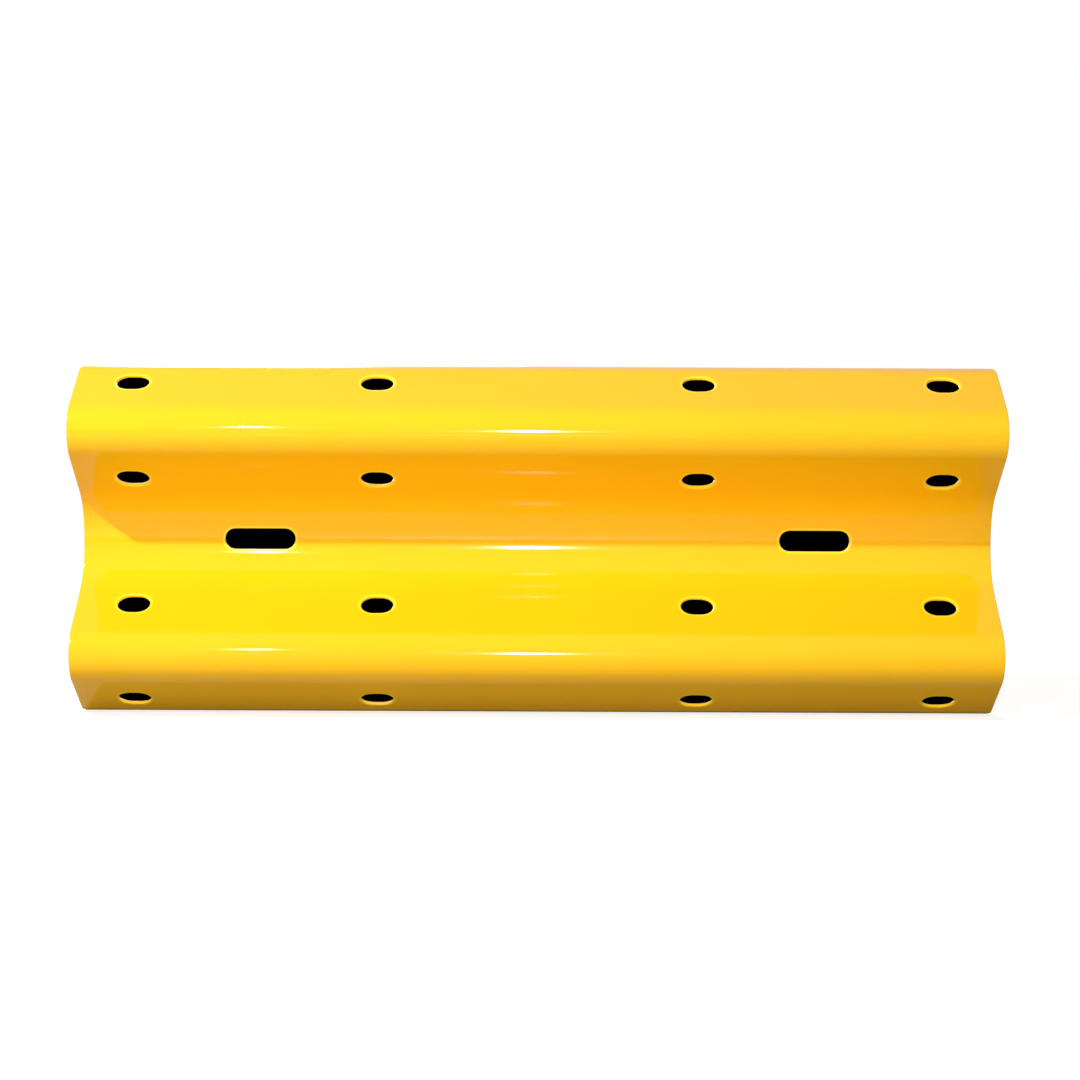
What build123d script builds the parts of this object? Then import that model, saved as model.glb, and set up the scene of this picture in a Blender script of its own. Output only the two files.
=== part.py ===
from build123d import *
from math import cos, radians, sin
import os

# One panel of W-section highway guardrail: a single sheet of steel, roll formed to two
# crowns with a round valley between them, punched with slots and coated.
# Millimetres. X runs along the rail, -Y faces the traffic and +Z is up. The origin is
# the middle of the valley's back face, which is bolted against the post.

# Section, followed from the valley out to the edge: a flat, a bend, the inner flank, the
# crown's bend, the outer flank, a last bend and the strip that stiffens the edge.
sheet = 3.0                 # thickness of the steel
panel_depth = 83.0          # from the valley's back face to the front of the crowns
edge_depth = 81.0           # from the front of the crowns to the back of the two edges
valley_flat = 4.0           # height of the flat that bears on the post
inner_flank_angle = 55.0    # away from upright
outer_flank_angle = 58.0
valley_bend_radius = 50.0   # all bend radii are those inside the bend
crown_bend_radius = 24.0
edge_bend_radius = 10.0
edge_strip = 14.0
edge_angle = 80.0           # of the edge strip away from upright, almost straight back
cut_edge_radius = 0.5       # on the sheet's cut edges, under the coat

# Slots in the valley for the bolts to the posts
post_slot_pitch = 500.0
post_slot_length = 63.5
post_slot_width = 19.0

# Slots in the flanks for the splice bolts
splice_slot_length = 29.0
splice_slot_width = 23.0    # across the slot, measured along the flank
splice_column_reach = 108.0 # from a post slot's centre to the columns on either side of it
splice_row_reach = 41.5     # from a crown's axis to the rows above and below it
end_margin = 51.0           # from the last column's centres to the end of the panel

panel_length = post_slot_pitch + 2 * (splice_column_reach + end_margin)

# The bends as they run in the middle of the sheet
valley_bend = valley_bend_radius + sheet / 2
crown_bend = crown_bend_radius + sheet / 2
edge_bend = edge_bend_radius + sheet / 2

# The flanks take up the depth that their bends leave
inner_slope = radians(inner_flank_angle)
outer_slope = radians(outer_flank_angle)
edge_slope = radians(edge_angle)
inner_flank = (
    panel_depth - sheet
    - (valley_bend + crown_bend) * (1 - cos(inner_slope))
) / sin(inner_slope)
outer_flank = (
    edge_depth - sheet / 2 * (1 + cos(edge_slope))
    - crown_bend * (1 - cos(outer_slope))
    - edge_bend * (cos(outer_slope) - cos(edge_slope))
    - edge_strip * sin(edge_slope)
) / sin(outer_slope)

splice_columns = [
    post_slot + side * splice_column_reach
    for post_slot in (-post_slot_pitch / 2, post_slot_pitch / 2)
    for side in (-1, 1)
]


def flank_plane(flank, height, column):
    """The plane of the sheet where a flank reaches a height, with its X along the rail."""
    start, end = flank @ 0, flank @ 1
    centre = flank @ ((height - start.Y) / (end.Y - start.Y))
    uphill = flank % 0
    return Plane(
        origin=(column, centre.X, centre.Y),
        x_dir=(1, 0, 0),
        z_dir=(0, -uphill.Y, uphill.X),
    )


with BuildPart() as w_beam_rail:
    # Upper half, from the valley's axis to the top edge
    with BuildSketch(Plane.YZ) as upper_section:
        with BuildLine() as middle_of_sheet:
            flat = Line((-sheet / 2, 0), (-sheet / 2, valley_flat / 2))
            valley = JernArc(flat @ 1, flat % 1, valley_bend, inner_flank_angle)
            inner = PolarLine(valley @ 1, inner_flank, direction=valley % 1)
            crown = JernArc(
                inner @ 1, inner % 1, crown_bend, -inner_flank_angle - outer_flank_angle
            )
            outer = PolarLine(crown @ 1, outer_flank, direction=crown % 1)
            edge_turn = JernArc(
                outer @ 1, outer % 1, edge_bend, outer_flank_angle - edge_angle
            )
            strip = PolarLine(edge_turn @ 1, edge_strip, direction=edge_turn % 1)
        trace(line_width=sheet)
    extrude(amount=panel_length / 2, both=True)
    top_of_panel = strip @ 1
    top_cut = w_beam_rail.faces().sort_by_distance((0, top_of_panel.X, top_of_panel.Y))[0]
    fillet(top_cut.edges().filter_by(Axis.X), cut_edge_radius)

    # Splice slots, punched square to the flanks
    crown_axis = crown.arc_center.Y
    splice_planes = [
        flank_plane(flank, crown_axis + side * splice_row_reach, column)
        for flank, side in ((inner, -1), (outer, 1))
        for column in splice_columns
    ]
    with BuildSketch(*splice_planes):
        SlotOverall(splice_slot_length, splice_slot_width)
    extrude(amount=sheet, both=True, mode=Mode.SUBTRACT)

    # Lower half
    mirror(about=Plane.XY)

    # Post slots, through the valley
    with BuildSketch(Plane.XZ):
        with GridLocations(post_slot_pitch, 0, 2, 1):
            SlotOverall(post_slot_length, post_slot_width)
    extrude(amount=panel_depth, both=True, mode=Mode.SUBTRACT)

    # Both ends, sheared before the panel is coated
    fillet(w_beam_rail.faces().filter_by(Axis.X).edges(), cut_edge_radius)

w_beam_rail.part.label = "w_beam_rail"

os.makedirs("parts", exist_ok=True)
export_step(w_beam_rail.part, "parts/w_beam_rail.step")
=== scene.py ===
from math import cos, hypot, pi, radians, sin

import bpy
from mathutils import Matrix, Vector


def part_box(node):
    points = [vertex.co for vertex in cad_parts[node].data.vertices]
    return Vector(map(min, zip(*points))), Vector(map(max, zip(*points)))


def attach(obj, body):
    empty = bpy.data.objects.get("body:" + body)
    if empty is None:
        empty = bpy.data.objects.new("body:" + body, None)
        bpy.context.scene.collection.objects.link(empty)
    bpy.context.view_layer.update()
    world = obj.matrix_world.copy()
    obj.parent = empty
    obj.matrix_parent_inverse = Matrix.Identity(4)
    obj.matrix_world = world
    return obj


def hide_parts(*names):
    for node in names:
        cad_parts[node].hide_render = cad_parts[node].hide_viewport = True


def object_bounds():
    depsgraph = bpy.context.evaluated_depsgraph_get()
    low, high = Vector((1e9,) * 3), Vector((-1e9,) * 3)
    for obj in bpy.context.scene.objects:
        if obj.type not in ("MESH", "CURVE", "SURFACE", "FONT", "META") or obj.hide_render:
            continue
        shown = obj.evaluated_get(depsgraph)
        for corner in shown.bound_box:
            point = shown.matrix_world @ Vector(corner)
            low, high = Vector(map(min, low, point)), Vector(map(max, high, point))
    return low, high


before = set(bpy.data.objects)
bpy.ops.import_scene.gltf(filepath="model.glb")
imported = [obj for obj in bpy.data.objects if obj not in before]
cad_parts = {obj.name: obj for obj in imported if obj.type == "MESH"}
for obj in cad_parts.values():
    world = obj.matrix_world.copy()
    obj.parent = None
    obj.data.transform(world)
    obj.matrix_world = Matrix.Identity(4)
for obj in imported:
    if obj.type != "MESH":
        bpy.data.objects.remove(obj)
cad_low, cad_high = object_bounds()


# The rail: one strip of 3 mm steel, slotted flat, then roll formed to a W section and powder
# coated. Bolts through the valley's slots hold it to posts. Its mesh is made in the same
# order as the rail, as a flat blank with slots in it that is then bent.
sheet = 0.003
valley_flat = 0.004
valley_bend_radius = 0.050
crown_bend_radius = 0.024
edge_bend_radius = 0.010
edge_strip = 0.014
inner_lean = radians(55)
outer_lean = radians(58)
edge_lean = radians(80)
edge_setback = 0.002        # of the two edges' backs from the valley's back
post_slot_pitch = 0.500
post_slot = (0.0635, 0.019)
splice_slot = (0.029, 0.023)
splice_column_reach = 0.108
splice_row_reach = 0.0415
rim_radius = 0.0009         # of the coated edges of slots and sheet
collar = 0.0008             # of flat sheet beside each rounded rim
highlight_fade = 0.0012          # over which the painted highlight round a slot fades out

rail_low, rail_high = (Vector(corner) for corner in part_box("w_beam_rail"))
rail_length = rail_high.x - rail_low.x
rail_depth = rail_high.y - rail_low.y
half_sheet = sheet / 2

valley_bend = valley_bend_radius + half_sheet
crown_bend = crown_bend_radius + half_sheet
edge_bend = edge_bend_radius + half_sheet
inner_flank = (
    rail_depth - sheet - (valley_bend + crown_bend) * (1 - cos(inner_lean))
) / sin(inner_lean)
outer_flank = (
    rail_depth - edge_setback - half_sheet * (1 + cos(edge_lean))
    - crown_bend * (1 - cos(outer_lean))
    - edge_bend * (cos(outer_lean) - cos(edge_lean))
    - edge_strip * sin(edge_lean)
) / sin(outer_lean)

# The stretches of the blank from the valley's middle to the edge: length and turn
stretches = [
    (valley_flat / 2, 0.0),
    (valley_bend * inner_lean, inner_lean),
    (inner_flank, 0.0),
    (crown_bend * (inner_lean + outer_lean), -inner_lean - outer_lean),
    (outer_flank, 0.0),
    (edge_bend * (edge_lean - outer_lean), outer_lean - edge_lean),
    (edge_strip, 0.0),
]
inner_start, inner_end, crown_end, outer_end, strip_start, blank_half = (
    sum(length for length, _ in stretches[:count]) for count in range(2, len(stretches) + 1)
)


def roll(across):
    """Where a place across the blank comes to lie: y and z, and how the sheet leans there."""
    y, z, lean, left = -half_sheet, 0.0, 0.0, abs(across)
    for length, turn in stretches:
        step = min(left, length)
        if turn:
            bent = turn * step / length
            radius = length / turn
            y += radius * (cos(lean + bent) - cos(lean))
            z += radius * (sin(lean + bent) - sin(lean))
            lean += bent
        else:
            y -= step * sin(lean)
            z += step * cos(lean)
        left -= step
    return (y, z, lean) if across >= 0 else (y, -z, -lean)


crown_height = roll(inner_end)[1] + crown_bend * sin(inner_lean)
inner_row = inner_end - (splice_row_reach - crown_bend * sin(inner_lean)) / cos(inner_lean)
outer_row = crown_end + (splice_row_reach - crown_bend * sin(outer_lean)) / cos(outer_lean)

# Each slot takes the place of a patch of the blank's grid, with these reaches from its centre
splice_patch = (0.0225, 0.0185)
post_patch = (0.041, 0.0165)
splice_columns = [
    side * post_slot_pitch / 2 + reach
    for side in (-1, 1)
    for reach in (-splice_column_reach, splice_column_reach)
]
splice_rows = [-outer_row, -inner_row, inner_row, outer_row]
slots = [(x, s, splice_slot, splice_patch) for s in splice_rows for x in splice_columns]
slots += [(x, 0.0, post_slot, post_patch) for x in (-post_slot_pitch / 2, post_slot_pitch / 2)]


def grid_lines(stops):
    """Grid lines from the first stop to the last, with so many faces from each to the next."""
    lines = []
    for (start, faces), (end, _) in zip(stops, stops[1:]):
        lines += [start + (end - start) * i / faces for i in range(faces)]
    return lines + [stops[-1][0]]


def both_sides(lines):
    return [-place for place in reversed(lines[1:])] + lines


blank_end = rail_length / 2 - rim_radius
blank_edge = blank_half - rim_radius
outer_column = post_slot_pitch / 2 + splice_column_reach
inner_column = post_slot_pitch / 2 - splice_column_reach
along_lines = both_sides(grid_lines([
    (0.0, 22),
    (inner_column - splice_patch[0], 12),
    (inner_column + splice_patch[0], 8),
    (post_slot_pitch / 2 - post_patch[0], 20),
    (post_slot_pitch / 2 + post_patch[0], 8),
    (outer_column - splice_patch[0], 12),
    (outer_column + splice_patch[0], 6),
    (blank_end - collar, 1),
    (blank_end, 1),
]))
across_lines = both_sides(grid_lines([
    (0.0, 7),
    (post_patch[1], 14),
    (inner_start, 1),
    (inner_row - splice_patch[1], 10),
    (inner_row + splice_patch[1], 4),
    (inner_end, 40),
    (crown_end, 4),
    (outer_row - splice_patch[1], 10),
    (outer_row + splice_patch[1], 1),
    (outer_end, 8),
    (strip_start, 3),
    (blank_edge - collar, 1),
    (blank_edge, 1),
]))

corners = []
# How much painted highlight each corner gets: lighter yellow round the slots' rims
slot_highlight = []
faces = []


def corner(along, across, proud, highlight=0.0):
    """Adds a corner of the mesh, proud of the middle of the sheet, and gives its number."""
    y, z, lean = roll(across)
    corners.append((along, y - proud * cos(lean), z - proud * sin(lean)))
    slot_highlight.append(highlight)
    return len(corners) - 1


def skin(loops):
    """Faces between closed loops of equally many corners."""
    for outer, inner in zip(loops, loops[1:]):
        count = len(outer)
        for i in range(count):
            j = (i + 1) % count
            faces.append((outer[i], outer[j], inner[j], inner[i]))


def nearest_line(lines, place):
    return min(range(len(lines)), key=lambda i: abs(lines[i] - place))


patches = [
    (
        nearest_line(along_lines, x - reach_x), nearest_line(along_lines, x + reach_x),
        nearest_line(across_lines, s - reach_s), nearest_line(across_lines, s + reach_s),
    )
    for x, s, _, (reach_x, reach_s) in slots
]


def blank_face(proud):
    """One face of the blank, whose corners are made when they are first asked for."""
    made = {}

    def at(i, j):
        if (i, j) not in made:
            made[i, j] = corner(along_lines[i], across_lines[j], proud)
        return made[i, j]

    return at


front, back = blank_face(half_sheet), blank_face(-half_sheet)
for i in range(len(along_lines) - 1):
    for j in range(len(across_lines) - 1):
        if any(a <= i < b and c <= j < d for a, b, c, d in patches):
            continue
        block = ((i, j), (i + 1, j), (i + 1, j + 1), (i, j + 1))
        faces.append([front(*place) for place in block])
        faces.append([back(*place) for place in reversed(block)])


def ring(low_i, high_i, low_j, high_j):
    """The grid's places round a block of it, in order."""
    return (
        [(i, low_j) for i in range(low_i, high_i)]
        + [(high_i, j) for j in range(low_j, high_j)]
        + [(i, high_j) for i in range(high_i, low_i, -1)]
        + [(low_i, j) for j in range(high_j, low_j, -1)]
    )


def slot_edge(dx, ds, length, width, gap):
    """The place on a slot's outline, grown by gap, that faces a place away from its centre."""
    straight = (length - width) / 2
    middle = max(-straight, min(straight, dx))
    far = hypot(dx - middle, ds)
    radius = width / 2 + gap
    return middle + (dx - middle) / far * radius, ds / far * radius


# The rounding of a cut edge, from the sheet's face to its wall: how far it still is from the
# wall, and how far from the middle of the sheet
rim_steps = [
    (rim_radius * (1 - sin(t)), half_sheet - rim_radius * (1 - cos(t)))
    for t in (0, pi / 6, pi / 3, pi / 2)
]

# The loops of corners round a slot, over its rim and out again on the back: share of the way
# from the patch's edge, gap to the slot's wall, how far proud, and how much painted highlight
fade_gap = rim_radius + collar + highlight_fade
loop_plan = [(share, fade_gap, half_sheet, 0.0) for share in (0.4, 0.8, 1.0)]
loop_plan.append((1.0, rim_radius + collar, half_sheet, 1.0))
loop_plan += [(1.0, gap, proud, 1.0) for gap, proud in rim_steps]
loop_plan += [(share, gap, -proud, highlight) for share, gap, proud, highlight in reversed(loop_plan)]

for (x, s, (length, width), _), patch in zip(slots, patches):
    places = ring(*patch)
    away = [(along_lines[i] - x, across_lines[j] - s) for i, j in places]
    loops = [[front(i, j) for i, j in places]]
    for share, gap, proud, highlight in loop_plan:
        loop = []
        for dx, ds in away:
            edge_x, edge_s = slot_edge(dx, ds, length, width, gap)
            loop.append(corner(
                x + dx + (edge_x - dx) * share, s + ds + (edge_s - ds) * share, proud, highlight
            ))
        loops.append(loop)
    loops.append([back(i, j) for i, j in places])
    skin(loops)

# The cut edges all round the blank
last_i, last_j = len(along_lines) - 1, len(across_lines) - 1
border = ring(0, last_i, 0, last_j)
loops = [[front(i, j) for i, j in border]]
edge_plan = [(rim_radius - gap, proud) for gap, proud in rim_steps[1:]]
for out, proud in edge_plan + [(out, -proud) for out, proud in reversed(edge_plan)]:
    loop = []
    for i, j in border:
        out_x = out * ((i == last_i) - (i == 0))
        out_s = out * ((j == last_j) - (j == 0))
        loop.append(corner(along_lines[i] + out_x, across_lines[j] + out_s, proud))
    loops.append(loop)
loops.append([back(i, j) for i, j in border])
skin([loop[::-1] for loop in loops])

rail_mesh = bpy.data.meshes.new("w_beam")
rail_mesh.from_pydata(corners, [], faces)
rail_mesh.shade_smooth()
# The painted highlight round the slots goes to the finish as an attribute of the corners
rail_mesh.attributes.new("slot_highlight", "FLOAT", "POINT").data.foreach_set("value", slot_highlight)


class Wire:
    """A node's output, with arithmetic that adds Math nodes to its recipe."""

    def __init__(self, recipe, socket):
        self.recipe = recipe
        self.socket = socket

    def maths(self, operation, first, second):
        return self.recipe.add("ShaderNodeMath", {"operation": operation}, {0: first, 1: second})

    def __add__(self, other):
        return self.maths("ADD", self, other)

    def __radd__(self, other):
        return self.maths("ADD", other, self)

    def __mul__(self, other):
        return self.maths("MULTIPLY", self, other)

    def __rmul__(self, other):
        return self.maths("MULTIPLY", other, self)


class Recipe:
    """The nodes of a finish, added one by one from the surface's own coordinates on."""

    def __init__(self, owner):
        owner.use_nodes = True
        self.tree = owner.node_tree
        self.tree.nodes.clear()

    def add(self, kind, settings=None, sockets=None, output=0):
        """Adds a node, settings first, and gives the output that is asked for."""
        node = self.tree.nodes.new(kind)
        for name, value in (settings or {}).items():
            setattr(node, name, value)
        for name, value in (sockets or {}).items():
            socket = self.find(node.inputs, name)
            if isinstance(value, Wire):
                self.tree.links.new(value.socket, socket)
            else:
                socket.default_value = value
        return Wire(self, self.find(node.outputs, output)) if node.outputs else None

    def find(self, sockets, name):
        in_use = [socket for socket in sockets if socket.enabled]
        return in_use[name] if isinstance(name, int) else {s.name: s for s in in_use}[name]


# The coat is a gloss safety-yellow powder coat. It clouds slightly and flows out to a faint
# orange peel, it has a painted highlight round the slots, and fine lines from rolling show
# through it.
coat_yellow = (0.98, 0.53, 0.006, 1.0)
coat_deep = (0.97, 0.50, 0.005, 1.0)
# Painted highlight: the lighter yellow round the slots' rims
painted_slot_highlight = (0.99, 0.68, 0.02, 1.0)
clouds_per_metre = 9.0
peel_size = 0.008
peel_depth = 0.00012
roll_line_pitch = 0.0016
roll_line_length = 0.35
roll_line_depth = 0.00002
base_roughness = 0.45
cloud_roughness = 0.1       # that the clouds add to it
gloss = 0.5
gloss_roughness = 0.065

coat = bpy.data.materials.new("yellow_powder_coat")
recipe = Recipe(coat)
place = recipe.add("ShaderNodeTexCoord", output="Object")
peel = recipe.add(
    "ShaderNodeTexNoise", {}, {"Vector": place, "Scale": 1 / peel_size, "Detail": 1.0}
)
stretched = recipe.add("ShaderNodeMapping", {}, {
    "Vector": place, "Scale": (1 / roll_line_length, 1 / roll_line_pitch, 1 / roll_line_pitch),
})
roll_lines = recipe.add(
    "ShaderNodeTexNoise", {}, {"Vector": stretched, "Scale": 1.0, "Detail": 2.0}
)
cloud = recipe.add(
    "ShaderNodeTexNoise", {}, {"Vector": place, "Scale": clouds_per_metre, "Detail": 3.0}
)
even_colour = recipe.add(
    "ShaderNodeMix", {"data_type": "RGBA"}, {"Factor": cloud, "A": coat_yellow, "B": coat_deep}
)
# The painted highlight lightens the colour round the slots
highlight = recipe.add("ShaderNodeAttribute", {"attribute_name": "slot_highlight"}, output="Fac")
colour = recipe.add(
    "ShaderNodeMix", {"data_type": "RGBA"},
    {"Factor": highlight, "A": even_colour, "B": painted_slot_highlight},
)
bumps = recipe.add("ShaderNodeBump", {}, {
    "Height": peel * peel_depth + roll_lines * roll_line_depth, "Distance": 1.0,
})
finish = recipe.add("ShaderNodeBsdfPrincipled", {}, {
    "Base Color": colour,
    "Roughness": base_roughness + cloud_roughness * cloud,
    "Specular IOR Level": 0.0,
    "Coat Weight": gloss,
    "Coat Roughness": gloss_roughness,
    "Normal": bumps,
})
recipe.add("ShaderNodeOutputMaterial", {}, {"Surface": finish})
rail_mesh.materials.append(coat)

rail = bpy.data.objects.new("w_beam", rail_mesh)
bpy.context.scene.collection.objects.link(rail)
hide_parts("w_beam_rail")
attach(rail, "root")


# The photograph has nothing but black in the slots, so the stage has a black card close
# behind each of them, bent as the rail is. The cards belong to the stage and not to the
# rail: they are drawn from the front alone, and neither shade nor tint anything.
# The cards' black is painted shade: it stands for the dark seen through the slots.
card_margin = 0.012         # past the slot's outline
card_gap = 0.0008           # behind the sheet
card_steps = 4              # from a card's middle to its upper and lower edges

card_corners = []
card_faces = []
for x, s, (length, width), _ in slots:
    reach_x = length / 2 + card_margin
    reach_s = width / 2 + card_margin
    for step in range(-card_steps, card_steps + 1):
        across = s + reach_s * step / card_steps
        y, z, lean = roll(across)
        behind = half_sheet + card_gap
        for side in (-1, 1):
            card_corners.append(
                (x + side * reach_x, y + behind * cos(lean), z + behind * sin(lean))
            )
        if step > -card_steps:
            n = len(card_corners)
            card_faces.append((n - 4, n - 3, n - 1, n - 2))
cards_mesh = bpy.data.meshes.new("slot_cards")
cards_mesh.from_pydata(card_corners, [], card_faces)

# Painted shade: the black seen through the slots
black = bpy.data.materials.new("painted_slot_shade")
recipe = Recipe(black)
card_paint = recipe.add("ShaderNodeMixShader", {}, {
    0: recipe.add("ShaderNodeNewGeometry", output="Backfacing"),
    1: recipe.add("ShaderNodeBsdfDiffuse", {}, {"Color": (0, 0, 0, 1)}),
    2: recipe.add("ShaderNodeBsdfTransparent"),
})
recipe.add("ShaderNodeOutputMaterial", {}, {"Surface": card_paint})
cards_mesh.materials.append(black)

cards = bpy.data.objects.new("slot_cards", cards_mesh)
bpy.context.scene.collection.objects.link(cards)
cards.visible_shadow = False
cards.visible_diffuse = False
cards.visible_glossy = False


# The studio: a plain white floor under the rail's lower edge and a white surround. The
# camera and mirrors see both white, and the rail gets a softer light back from them.
floor_reach = 12.0
floor_grey = (0.30, 0.30, 0.30, 1.0)        # for the light that it sends back to the rail
floor_white = (0.8, 0.8, 0.8, 1.0)          # in the rail's gloss
floor_in_view = (0.5, 0.5, 0.5, 1.0)        # for the camera, which also sees a glow
floor_glow = 0.76
shadow_reach = (0.8, 2.5)   # the floor's shading ends between these distances from the rail
white = (1, 1, 1, 1)
surround_light = 0.175


def ray(recipe, kind):
    """1 for rays of the kind, such as those that the camera sends, and 0 for the rest."""
    return recipe.add("ShaderNodeLightPath", output=f"Is {kind} Ray")


def mirrored(recipe):
    """1 for the rays by which gloss and glass show what is around them."""
    glossy = ray(recipe, "Glossy")
    return glossy.maths("MAXIMUM", glossy, ray(recipe, "Transmission"))


floor_mesh = bpy.data.meshes.new("floor")
floor_mesh.from_pydata(
    [(x * floor_reach, y * floor_reach, cad_low.z)
     for x, y in ((-1, -1), (1, -1), (1, 1), (-1, 1))],
    [], [(0, 1, 2, 3)],
)
floor = bpy.data.objects.new("floor", floor_mesh)
bpy.context.scene.collection.objects.link(floor)

floor_finish = bpy.data.materials.new("floor_paper")
recipe = Recipe(floor_finish)
paper = recipe.add("ShaderNodeMixShader", {}, {
    0: mirrored(recipe),
    1: recipe.add("ShaderNodeBsdfDiffuse", {}, {"Color": floor_grey}),
    2: recipe.add("ShaderNodeBsdfDiffuse", {}, {"Color": floor_white}),
})
paper_in_view = recipe.add("ShaderNodeAddShader", {}, {
    0: recipe.add("ShaderNodeBsdfDiffuse", {}, {"Color": floor_in_view}),
    1: recipe.add("ShaderNodeEmission", {}, {"Strength": floor_glow}),
})
distance = recipe.add("ShaderNodeVectorMath", {"operation": "LENGTH"}, {
    0: recipe.add("ShaderNodeTexCoord", output="Object"),
}, output="Value")
far = recipe.add("ShaderNodeMapRange", {"interpolation_type": "SMOOTHSTEP"}, {
    "Value": distance, "From Min": shadow_reach[0], "From Max": shadow_reach[1],
})
white_in_view = recipe.add("ShaderNodeMixShader", {}, {
    0: far, 1: paper_in_view, 2: recipe.add("ShaderNodeEmission", {}, {"Strength": 1.0}),
})
white_floor = recipe.add("ShaderNodeMixShader", {}, {
    0: ray(recipe, "Camera"), 1: paper, 2: white_in_view,
})
recipe.add("ShaderNodeOutputMaterial", {}, {"Surface": white_floor})
floor_mesh.materials.append(floor_finish)

world = bpy.data.worlds.new("surround")
bpy.context.scene.world = world
recipe = Recipe(world)
surround = recipe.add("ShaderNodeMixShader", {}, {
    0: mirrored(recipe) + ray(recipe, "Camera"),
    1: recipe.add("ShaderNodeBackground", {}, {"Color": white, "Strength": surround_light}),
    2: recipe.add("ShaderNodeBackground", {}, {"Color": white, "Strength": 1.0}),
})
recipe.add("ShaderNodeOutputWorld", {}, {"Surface": surround})


# The lamps: a hard one high at the front left, which gives the upper crown its shadow, two
# narrow ones in front that draw the bright lines along the bends, and a soft one behind.
def lamp(name, place, width, height, watts):
    """An oval lamp that is aimed at the middle of the rail."""
    light = bpy.data.lights.new(name, "AREA")
    light.shape = "ELLIPSE"
    light.size = width
    light.size_y = height
    light.energy = watts
    body = bpy.data.objects.new(name, light)
    body.location = place
    body.rotation_euler = (-Vector(place)).to_track_quat("-Z", "Y").to_euler()
    bpy.context.scene.collection.objects.link(body)


key_reach = 1.9             # from the left end of the upper crown
key_way = Vector((-0.40, -0.60, 0.69))
key_place = Vector((rail_low.x, rail_low.y, crown_height)) + key_reach * key_way
lamp("key", key_place, width=0.06, height=0.06, watts=39.0)
lamp("front", (-0.015, -2.24, 0.285), width=0.035, height=0.16, watts=27.0)
lamp("left", (-0.50, -2.10, 0.70), width=0.03, height=0.12, watts=4.0)
lamp("back", (-0.60, 2.60, 0.50), width=1.2, height=1.2, watts=60.0)


# The camera, fitted to the photograph's slots and outlines. Its place is in metres, its
# turns are in radians, and its focal length is in the photograph's pixels.
photo_width = 1080
focal_pixels = 2441.8
camera_place = (0.00305, -2.20144, 0.14633)
yaw, pitch, tilt = 0.00033, -0.06648, -0.00439

camera_data = bpy.data.cameras.new("camera")
camera_data.lens = camera_data.sensor_width * focal_pixels / photo_width
camera = bpy.data.objects.new("camera", camera_data)
turned = (
    Matrix.Rotation(yaw, 3, "Z") @ Matrix.Rotation(pitch, 3, "X") @ Matrix.Rotation(tilt, 3, "Y")
)
right, ahead, up = (turned.col[i] for i in range(3))
camera.matrix_world = (
    Matrix.Translation(camera_place) @ Matrix((right, up, -ahead)).transposed().to_4x4()
)
bpy.context.scene.collection.objects.link(camera)
bpy.context.scene.camera = camera
bpy.context.scene.view_settings.view_transform = "Standard"
